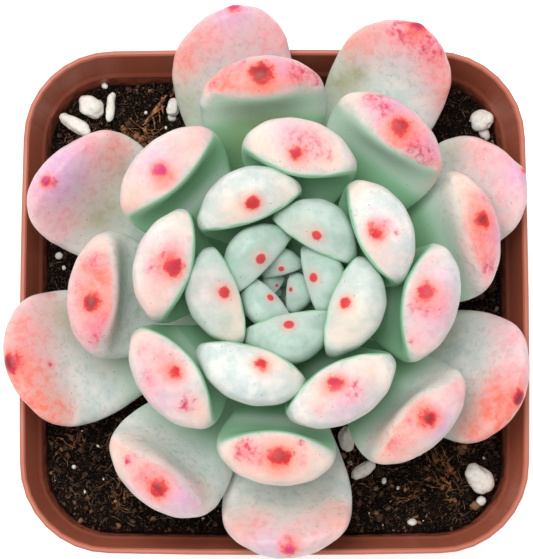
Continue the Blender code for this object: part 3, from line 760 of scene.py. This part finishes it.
# %% Painted marks
PAINTS = ("coral", "pink", "magenta", "lilac", "peach", "olive")
MARKS = {
    # leaf: (paint, pixel across, pixel down, radius in mm, strength)
    8: [("peach", 305, 233, 2.5, 0.5)],
    9: [("peach", 238, 300, 3.0, 0.9), ("pink", 205, 289, 3.5, 0.35), ("peach", 235, 330, 3.0, 0.6)],
    10: [("peach", 350, 316, 3.5, 0.8), ("peach", 340, 338, 3.0, 0.4)],
    11: [("peach", 236, 212, 3.5, 0.9), ("coral", 250, 205, 2.0, 0.3), ("peach", 285, 195, 3.0, 0.5)],
    12: [("peach", 275, 357, 3.5, 0.9), ("coral", 262, 370, 1.8, 0.4), ("peach", 300, 372, 3.0, 0.5)],
    13: [
        ("pink", 380, 228, 2.6, 0.8), ("magenta", 384, 224, 1.4, 0.8), ("magenta", 397, 232, 0.6, 1.0),
        ("magenta", 370, 224, 0.6, 0.9), ("peach", 357, 184, 3.5, 0.9), ("peach", 372, 255, 3.5, 0.9),
        ("pink", 390, 262, 3.0, 0.3),
    ],
    14: [
        ("coral", 166, 262, 3.0, 0.9), ("magenta", 170, 256, 1.8, 0.9), ("magenta", 152, 268, 1.6, 0.8),
        ("pink", 178, 247, 2.4, 0.6), ("pink", 160, 280, 2.5, 0.6), ("pink", 150, 302, 4.0, 0.35), ("peach", 150, 300, 5.0, 0.9),
        ("peach", 185, 225, 4.0, 0.8), ("pink", 145, 245, 3.0, 0.4),
    ],
    15: [
        ("magenta", 353, 388, 2.2, 0.8), ("lilac", 345, 410, 3.0, 0.5), ("pink", 345, 395, 5.0, 0.6),
        ("magenta", 318, 409, 1.2, 0.6), ("peach", 320, 396, 3.5, 0.8), ("peach", 370, 370, 4.0, 0.8),
        ("coral", 330, 388, 2.2, 0.5),
    ],
    16: [
        ("peach", 300, 140, 9.0, 0.6),
        ("magenta", 291, 140, 2.4, 0.5), ("magenta", 314, 146, 3.4, 0.6), ("magenta", 329, 157, 1.2, 0.5),
        ("pink", 300, 134, 4.5, 0.7), ("peach", 258, 145, 4.0, 0.9), ("peach", 330, 165, 4.0, 0.8),
        ("lilac", 285, 128, 2.4, 0.4), ("coral", 300, 158, 2.0, 0.5),
    ],
    17: [
        ("pink", 160, 380, 9.0, 0.35),
        ("coral", 166, 370, 3.0, 0.8), ("magenta", 147, 379, 1.3, 0.8), ("magenta", 187, 404, 2.0, 0.9),
        ("lilac", 163, 400, 3.5, 0.4), ("pink", 155, 352, 4.0, 0.7), ("peach", 200, 412, 4.0, 0.9),
        ("peach", 140, 335, 4.0, 0.8), ("magenta", 141, 350, 1.2, 0.5), ("pink", 150, 392, 3.5, 0.6),
    ],
    18: [
        ("coral", 428, 300, 3.0, 0.8), ("magenta", 414, 306, 1.6, 0.8), ("lilac", 434, 327, 4.0, 0.4),
        ("pink", 440, 300, 4.0, 0.8), ("peach", 412, 344, 4.0, 0.9), ("coral", 430, 255, 3.0, 0.25),
        ("magenta", 411, 341, 0.8, 0.7), ("lilac", 447, 285, 3.5, 0.4), ("pink", 425, 270, 3.0, 0.5),
        ("magenta", 428, 312, 1.5, 0.6), ("pink", 412, 338, 3.5, 0.6), ("pink", 440, 318, 4.0, 0.5),
    ],
    19: [
        ("pink", 165, 160, 7.0, 0.25), ("peach", 150, 190, 6.0, 0.4),
        ("lilac", 154, 160, 2.4, 0.6), ("coral", 166, 178, 2.6, 0.9), ("magenta", 160, 170, 1.8, 0.9),
        ("pink", 200, 132, 4.0, 0.6), ("peach", 135, 200, 5.0, 0.9), ("peach", 195, 145, 5.0, 0.8),
        ("pink", 140, 172, 4.0, 0.5), ("pink", 175, 150, 3.0, 0.5), ("coral", 130, 210, 3.0, 0.4),
    ],
    20: [
        ("peach", 278, 452, 11.0, 0.7),
        ("coral", 278, 460, 3.4, 0.8), ("magenta", 243, 449, 2.3, 1.0), ("magenta", 257, 456, 1.8, 0.9),
        ("magenta", 302, 442, 1.2, 0.8), ("magenta", 303, 461, 1.4, 0.7), ("peach", 240, 465, 5.0, 1.0),
        ("peach", 310, 465, 5.0, 1.0), ("pink", 262, 440, 4.0, 0.4), ("pink", 300, 448, 4.0, 0.3),
        ("coral", 245, 455, 3.0, 0.5),
    ],
    21: [
        ("pink", 400, 125, 8.0, 0.25), ("coral", 385, 105, 4.0, 0.25), ("coral", 422, 156, 4.0, 0.25),
        ("coral", 401, 138, 4.4, 1.0), ("magenta", 373, 97, 2.2, 0.8), ("magenta", 384, 111, 2.0, 0.8),
        ("magenta", 427, 157, 2.4, 0.9), ("magenta", 413, 143, 2.2, 0.8), ("lilac", 394, 106, 3.8, 0.8),
        ("pink", 380, 100, 4.0, 0.7), ("peach", 347, 100, 4.0, 0.9), ("coral", 430, 175, 4.0, 0.9),
        ("pink", 420, 140, 4.5, 0.9), ("lilac", 432, 150, 3.0, 0.6), ("peach", 425, 180, 4.0, 0.8),
    ],
    22: [
        ("pink", 92, 300, 9.0, 0.55),
        ("coral", 97, 280, 3.8, 1.0), ("coral", 101, 319, 4.4, 1.0), ("magenta", 94, 340, 1.5, 0.9),
        ("magenta", 97, 260, 2.0, 0.9), ("pink", 85, 285, 3.5, 0.8), ("pink", 95, 335, 4.0, 0.8),
        ("peach", 105, 240, 5.0, 0.9), ("lilac", 100, 325, 2.5, 0.5), ("coral", 88, 262, 3.0, 0.6),
        ("pink", 78, 300, 3.0, 0.7),
    ],
    23: [
        ("peach", 425, 415, 9.0, 0.6),
        ("coral", 404, 434, 4.4, 0.75), ("coral", 420, 412, 3.2, 0.9), ("lilac", 442, 426, 3.6, 0.9),
        ("magenta", 410, 422, 0.7, 1.0), ("peach", 372, 450, 5.0, 0.9), ("pink", 456, 388, 4.0, 0.9),
        ("magenta", 395, 445, 2.0, 0.6), ("coral", 385, 442, 4.0, 0.7), ("peach", 440, 375, 5.0, 0.7),
        ("magenta", 437, 418, 2.0, 0.6),
    ],
    24: [
        ("pink", 262, 80, 9.0, 0.4), ("coral", 300, 88, 3.0, 0.4), ("coral", 262, 78, 3.5, 0.25),
        ("coral", 233, 88, 3.6, 1.0), ("coral", 262, 90, 3.6, 0.75), ("coral", 215, 80, 3.5, 0.8),
        ("olive", 262, 126, 7.0, 0.7),
        ("pink", 233, 68, 4.0, 0.9), ("magenta", 300, 70, 2.6, 1.0), ("magenta", 317, 78, 1.8, 0.9),
        ("lilac", 277, 66, 2.4, 0.9), ("coral", 288, 88, 4.0, 0.9), ("pink", 290, 65, 4.0, 0.8),
        ("magenta", 212, 84, 1.0, 0.8), ("pink", 318, 80, 3.5, 0.7), ("magenta", 243, 62, 1.6, 0.6),
    ],
    25: [
        ("pink", 150, 480, 7.0, 0.4),
        ("coral", 146, 470, 3.6, 0.8), ("magenta", 128, 460, 1.5, 1.0), ("coral", 130, 440, 4.4, 0.4),
        ("lilac", 190, 497, 4.0, 0.9), ("pink", 180, 481, 4.0, 0.9), ("magenta", 148, 478, 2.4, 0.7),
        ("peach", 118, 425, 5.0, 0.9), ("pink", 165, 500, 4.0, 0.6), ("coral", 200, 492, 3.0, 0.6),
        ("peach", 210, 505, 4.0, 0.7),
    ],
    26: [
        ("pink", 494, 225, 6.0, 0.6), ("coral", 484, 222, 2.6, 0.5),
        ("coral", 476, 200, 3.0, 0.6), ("coral", 482, 250, 3.8, 1.0), ("magenta", 489, 266, 2.0, 0.8),
        ("pink", 497, 218, 4.0, 0.9), ("peach", 457, 190, 4.6, 0.8), ("lilac", 500, 235, 3.4, 0.8),
        ("peach", 462, 175, 4.0, 0.8), ("pink", 480, 280, 4.0, 0.7), ("coral", 487, 228, 3.0, 0.7),
        ("magenta", 484, 198, 1.4, 0.6), ("peach", 464, 215, 4.5, 0.8), ("pink", 472, 245, 3.5, 0.6),
        ("coral", 474, 232, 3.0, 0.5),
    ],
    27: [
        ("pink", 62, 190, 9.0, 0.5), ("pink", 92, 165, 9.0, 0.4),
        ("lilac", 62, 182, 4.0, 1.0), ("lilac", 60, 184, 4.0, 1.0), ("magenta", 49, 182, 1.8, 1.0), ("pink", 84, 147, 4.8, 0.9),
        ("pink", 50, 207, 5.0, 0.9), ("coral", 116, 150, 4.5, 0.6), ("lilac", 70, 160, 4.0, 0.7),
        ("olive", 104, 216, 5.0, 0.8), ("pink", 60, 225, 5.0, 0.6), ("magenta", 87, 146, 1.4, 0.5),
        ("olive", 128, 175, 3.5, 0.5), ("pink", 40, 195, 3.0, 0.6),
    ],
    28: [
        ("pink", 288, 545, 7.0, 0.12), ("peach", 285, 525, 8.0, 0.3),
        ("coral", 233, 522, 4.0, 0.4), ("coral", 247, 533, 4.2, 0.6), ("pink", 307, 529, 4.5, 0.5),
        ("coral", 340, 516, 4.2, 0.6), ("lilac", 268, 549, 4.0, 0.8), ("magenta", 288, 546, 2.0, 1.0),
        ("pink", 322, 540, 4.0, 0.5), ("pink", 262, 520, 3.0, 0.3), ("coral", 290, 535, 3.0, 0.25),
    ],
    29: [
        ("pink", 405, 36, 6.0, 0.5), ("pink", 365, 30, 4.5, 0.6), ("magenta", 416, 32, 3.4, 1.0),
        ("coral", 400, 28, 3.5, 0.2), ("magenta", 434, 52, 2.6, 0.8), ("coral", 449, 90, 3.0, 0.7),
        ("coral", 418, 36, 3.4, 0.4), ("magenta", 414, 31, 2.2, 0.9), ("coral", 377, 27, 3.0, 0.5),
        ("pink", 428, 52, 5.2, 0.65), ("pink", 441, 78, 4.0, 0.9), ("coral", 353, 43, 4.0, 0.7),
        ("magenta", 395, 28, 1.8, 0.8), ("olive", 340, 82, 5.0, 0.9), ("olive", 358, 73, 1.4, 0.9),
        ("pink", 444, 105, 3.5, 0.7), ("coral", 438, 60, 3.0, 0.7), ("pink", 385, 38, 4.0, 0.5),
    ],
    30: [
        ("coral", 24, 382, 6.0, 0.7), ("pink", 38, 330, 7.0, 0.5),
        ("coral", 17, 380, 4.0, 0.8), ("coral", 31, 402, 4.0, 0.9), ("coral", 20, 324, 4.5, 0.6),
        ("magenta", 50, 363, 1.0, 0.9), ("magenta", 50, 294, 1.0, 0.8), ("coral", 48, 408, 4.2, 0.9),
        ("coral", 58, 417, 3.0, 0.8), ("pink", 25, 350, 5.0, 0.8), ("olive", 70, 318, 5.0, 0.7),
        ("pink", 40, 300, 4.0, 0.7), ("magenta", 16, 362, 2.0, 0.8), ("olive", 112, 350, 4.0, 0.5),
    ],
    31: [
        ("pink", 506, 395, 6.0, 0.6), ("coral", 508, 404, 5.0, 0.6),
        ("coral", 498, 408, 5.0, 1.0), ("coral", 484, 426, 4.2, 1.0), ("pink", 522, 378, 4.6, 0.9),
        ("pink", 514, 334, 4.4, 0.9), ("coral", 512, 412, 3.5, 0.9), ("pink", 500, 318, 3.6, 0.6),
        ("magenta", 517, 397, 1.6, 0.9), ("olive", 440, 330, 4.0, 0.6), ("coral", 470, 435, 3.0, 0.6),
    ],
    32: [
        ("pink", 235, 22, 9.0, 0.4), ("pink", 190, 45, 6.0, 0.35), ("coral", 268, 22, 4.0, 0.2),
        ("lilac", 233, 9, 3.6, 1.0), ("pink", 240, 22, 8.0, 0.6), ("pink", 272, 32, 6.0, 0.7),
        ("coral", 180, 52, 4.6, 0.5), ("coral", 200, 36, 4.6, 0.3), ("olive", 186, 108, 5.0, 0.8),
        ("pink", 283, 50, 4.0, 0.8), ("magenta", 235, 8, 1.4, 0.7), ("pink", 205, 25, 5.0, 0.7),
        ("coral", 172, 75, 3.0, 0.6),
    ],
    34: [
        ("pink", 505, 180, 8.0, 0.2), ("pink", 475, 150, 6.0, 0.15),
        ("pink", 492, 150, 5.5, 0.7), ("pink", 513, 202, 4.6, 0.7), ("coral", 480, 141, 4.0, 0.35),
        ("lilac", 521, 173, 3.0, 0.8), ("pink", 512, 165, 5.0, 0.9), ("coral", 505, 230, 3.0, 0.3),
        ("olive", 452, 150, 3.0, 0.5),
    ],
}

skins = {
    number: BVHTree.FromPolygons(points_of(leaf.data).tolist(), [list(f.vertices) for f in leaf.data.polygons])
    for number, leaf in leaves.items()
}
for number, leaf in leaves.items():
    place = points_of(leaf.data)
    layers = {paint_name: np.zeros(len(place)) for paint_name in PAINTS}
    for paint_name, across, down, radius, strength in MARKS.get(number, []):
        ray = ray_through(across, down)
        spot = skins[number].ray_cast(CAMERA_PLACE, ray)[0]
        if spot is None:
            reach = (mucros[number].z - CAMERA_PLACE.z) / ray.z
            spot = skins[number].find_nearest(CAMERA_PLACE + ray * reach)[0]
        distance = np.linalg.norm(place - np.array(spot), axis=1) / MM
        mark = strength * np.exp(-((distance / radius) ** 2))
        layers[paint_name] = 1 - (1 - layers[paint_name]) * (1 - mark)
    for paint_name, values in layers.items():
        paint(leaf.data, paint_name, values)
print(sum(len(marks) for marks in MARKS.values()), "marks painted")

# %% [markdown]
# ## The leaf skin
#
# The skin is thick, juicy and covered with a white waxy bloom, so light goes a little way in: that is
# what subsurface scattering is for. The colours lie over each other like glazes, from the mint ground
# to the red dot. Each painted glaze is broken up by its own noise, so no patch has a smooth computer edge.

# %% Leaf finish
material, tree, shader = start_material("leaf_bloom")
washed = grain(tree, 3.6, detail=4, roughness=0.6)
streaky = grain(tree, 1.3, detail=6, roughness=0.65, distortion=0.5)
fine = grain(tree, 0.32, detail=3, roughness=0.7)
wormy = grain(tree, 1.2, detail=5, roughness=0.6)
inner = painted(tree, "inner")
young = painted(tree, "young")
away = painted(tree, "away")
old = maths(tree, "SUBTRACT", 1.0, young)

white = mix(tree, ramp(tree, washed, 0.35, 0.65), chart(208, 218, 216), chart(240, 237, 232))
mint = mix(tree, ramp(tree, washed, 0.35, 0.65), chart(162, 187, 175), chart(184, 203, 193))
skin = mix(tree, young, white, mint)
skin = mix(tree, maths(tree, "MULTIPLY", inner, 0.6), skin, chart(212, 218, 213))
# Painted shade: the skin turns mint-grey where it turns away from the light above.
skin = mix(tree, maths(tree, "MULTIPLY", painted(tree, "margin"), 0.5), skin, chart(174, 196, 184))
wisps = maths(tree, "MULTIPLY", ramp(tree, streaky, 0.48, 0.66), maths(tree, "ADD", 0.22, maths(tree, "MULTIPLY", inner, 0.3)))
skin = mix(tree, maths(tree, "MULTIPLY", wisps, old), skin, chart(160, 182, 168))


bared = maths(tree, "SUBTRACT", 1.0, maths(tree, "MULTIPLY", painted(tree, "bare"), 0.6))


def glaze(skin, name, colour, most, grainy=0.22):
    """Lays a painted colour over the skin like a watercolour wash, uneven and a little grainy."""
    share = maths(tree, "MULTIPLY", painted(tree, name), bared)
    cloud = ramp(tree, washed, 0.36, 0.62, 0.72, 1.0)
    speck = ramp(tree, streaky, 0.4, 0.6, 1.0 - grainy, 1.0)
    share = maths(tree, "MULTIPLY", maths(tree, "MULTIPLY", share, cloud), speck)
    return mix(tree, maths(tree, "MULTIPLY", share, most), skin, colour)


skin = glaze(skin, "peach", chart(250, 214, 192), 0.85)
skin = glaze(skin, "pink", chart(244, 146, 160), 0.85)
skin = glaze(skin, "coral", chart(246, 108, 84), 0.95)
skin = glaze(skin, "lilac", chart(198, 156, 206), 0.7)

magenta = painted(tree, "magenta")
skin = glaze(skin, "magenta", chart(236, 106, 138), 0.6)
blotch = ramp(tree, maths(tree, "ADD", wormy, maths(tree, "MULTIPLY", magenta, 0.16)), 0.52, 0.8)
blotch = maths(tree, "MULTIPLY", blotch, ramp(tree, magenta, 0.1, 0.8))
skin = mix(tree, maths(tree, "MULTIPLY", blotch, 0.95), skin, chart(206, 40, 84))
speck_cell = {"Vector": add(tree, "ShaderNodeTexCoord").outputs["Object"], "Scale": 1 / (0.62 * MM)}
specks_apart = add(tree, "ShaderNodeTexVoronoi", speck_cell).outputs["Distance"]
rosy = maths(tree, "ADD", magenta, maths(tree, "MULTIPLY", painted(tree, "pink"), 0.5))
speck = maths(tree, "MULTIPLY", ramp(tree, specks_apart, 0.3, 0.16), ramp(tree, streaky, 0.5, 0.6))
speck = maths(tree, "MULTIPLY", speck, ramp(tree, rosy, 0.15, 0.9))
skin = mix(tree, maths(tree, "MULTIPLY", speck, 0.6), skin, chart(190, 50, 76))

size = painted(tree, "dot_size")
fuzz = maths(tree, "MULTIPLY", maths(tree, "SUBTRACT", fine, 0.5), 0.35)
arms = maths(tree, "MULTIPLY", maths(tree, "SUBTRACT", maths(tree, "ADD", streaky, washed), 1.0), 1.9)
fuzz = maths(tree, "MULTIPLY", maths(tree, "ADD", fuzz, arms), maths(tree, "ADD", 0.15, maths(tree, "MULTIPLY", old, 0.85)))
from_dot = maths(tree, "ADD", maths(tree, "DIVIDE", away, size), fuzz)
halo = maths(tree, "MULTIPLY", ramp(tree, from_dot, 2.6, 0.6), maths(tree, "ADD", 0.3, maths(tree, "MULTIPLY", old, 0.3)))
skin = mix(tree, halo, skin, chart(248, 130, 104))
rim = maths(tree, "MULTIPLY", ramp(tree, from_dot, 1.5, 0.8), old)
skin = mix(tree, maths(tree, "MULTIPLY", rim, 0.85), skin, chart(232, 78, 64))
core = ramp(tree, from_dot, 1.1, 0.75)
red = mix(tree, painted(tree, "dot_rosy"), chart(214, 44, 52), chart(214, 60, 128))
skin = mix(tree, maths(tree, "MULTIPLY", core, 0.92), skin, red)
dark = maths(tree, "MULTIPLY", ramp(tree, from_dot, 0.95, 0.2), painted(tree, "dot_dark"))
skin = mix(tree, maths(tree, "MULTIPLY", dark, 0.85), skin, chart(118, 30, 28))

# The inner faces turn green, partly their own colour and partly painted shade; the darker green deeper towards the
# axis is painted shade.
green = painted(tree, "green")
skin = mix(tree, ramp(tree, green, 0.0, 0.4), skin, chart(190, 215, 196))
skin = mix(tree, ramp(tree, green, 0.3, 0.95), skin, chart(148, 196, 158))
deep_shade = maths(tree, "MULTIPLY", ramp(tree, green, 0.3, 0.95), painted(tree, "deep_shade"))
skin = mix(tree, maths(tree, "MULTIPLY", deep_shade, 0.85), skin, chart(90, 136, 96))
olive = maths(tree, "MULTIPLY", painted(tree, "olive"), ramp(tree, washed, 0.36, 0.62, 0.6, 1.0))
skin = mix(tree, maths(tree, "MULTIPLY", olive, 0.8), skin, chart(140, 140, 84))

pore_cell = {"Vector": add(tree, "ShaderNodeTexCoord").outputs["Object"], "Scale": 1 / (1.9 * MM)}
pores = add(tree, "ShaderNodeTexVoronoi", pore_cell).outputs["Distance"]
pore = maths(tree, "MULTIPLY", ramp(tree, pores, 0.075, 0.045), 0.6)
skin = mix(tree, pore, skin, chart(92, 78, 76))

tree.links.new(skin, shader.inputs["Base Color"])
tree.links.new(ramp(tree, streaky, 0.3, 0.7, 0.4, 0.56), shader.inputs["Roughness"])
shader.inputs["Subsurface Weight"].default_value = 0.35
shader.inputs["Subsurface Radius"].default_value = (1.0, 0.8, 0.65)
shader.inputs["Subsurface Scale"].default_value = 1.6 * MM
shader.inputs["Specular IOR Level"].default_value = 0.42
bump(tree, shader, grain(tree, 0.9, detail=5), 0.05, 0.6)
for leaf in leaves.values():
    leaf.data.materials.clear()
    leaf.data.materials.append(material)

# %% Stem finish
material, tree, shader = start_material("stem_rind")
rings = grain(tree, 1.6, detail=5)
rind = mix(tree, ramp(tree, rings, 0.35, 0.65), chart(116, 140, 118), chart(148, 168, 148))
tree.links.new(rind, shader.inputs["Base Color"])
tree.links.new(ramp(tree, rings, 0.3, 0.7, 0.6, 0.8), shader.inputs["Roughness"])
bump(tree, shader, rings, 0.2)
nodes["stem"].data.materials[0] = material

# %% [markdown]
# ## Hand over
#
# Nothing on this plant moves, so every piece rides on the one body.

# %% Finish
for piece in [soil, crumbs, clods, strands, coir, splinters, dust, *specks, *grains_made, *leaves.values()]:
    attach(piece, "root")
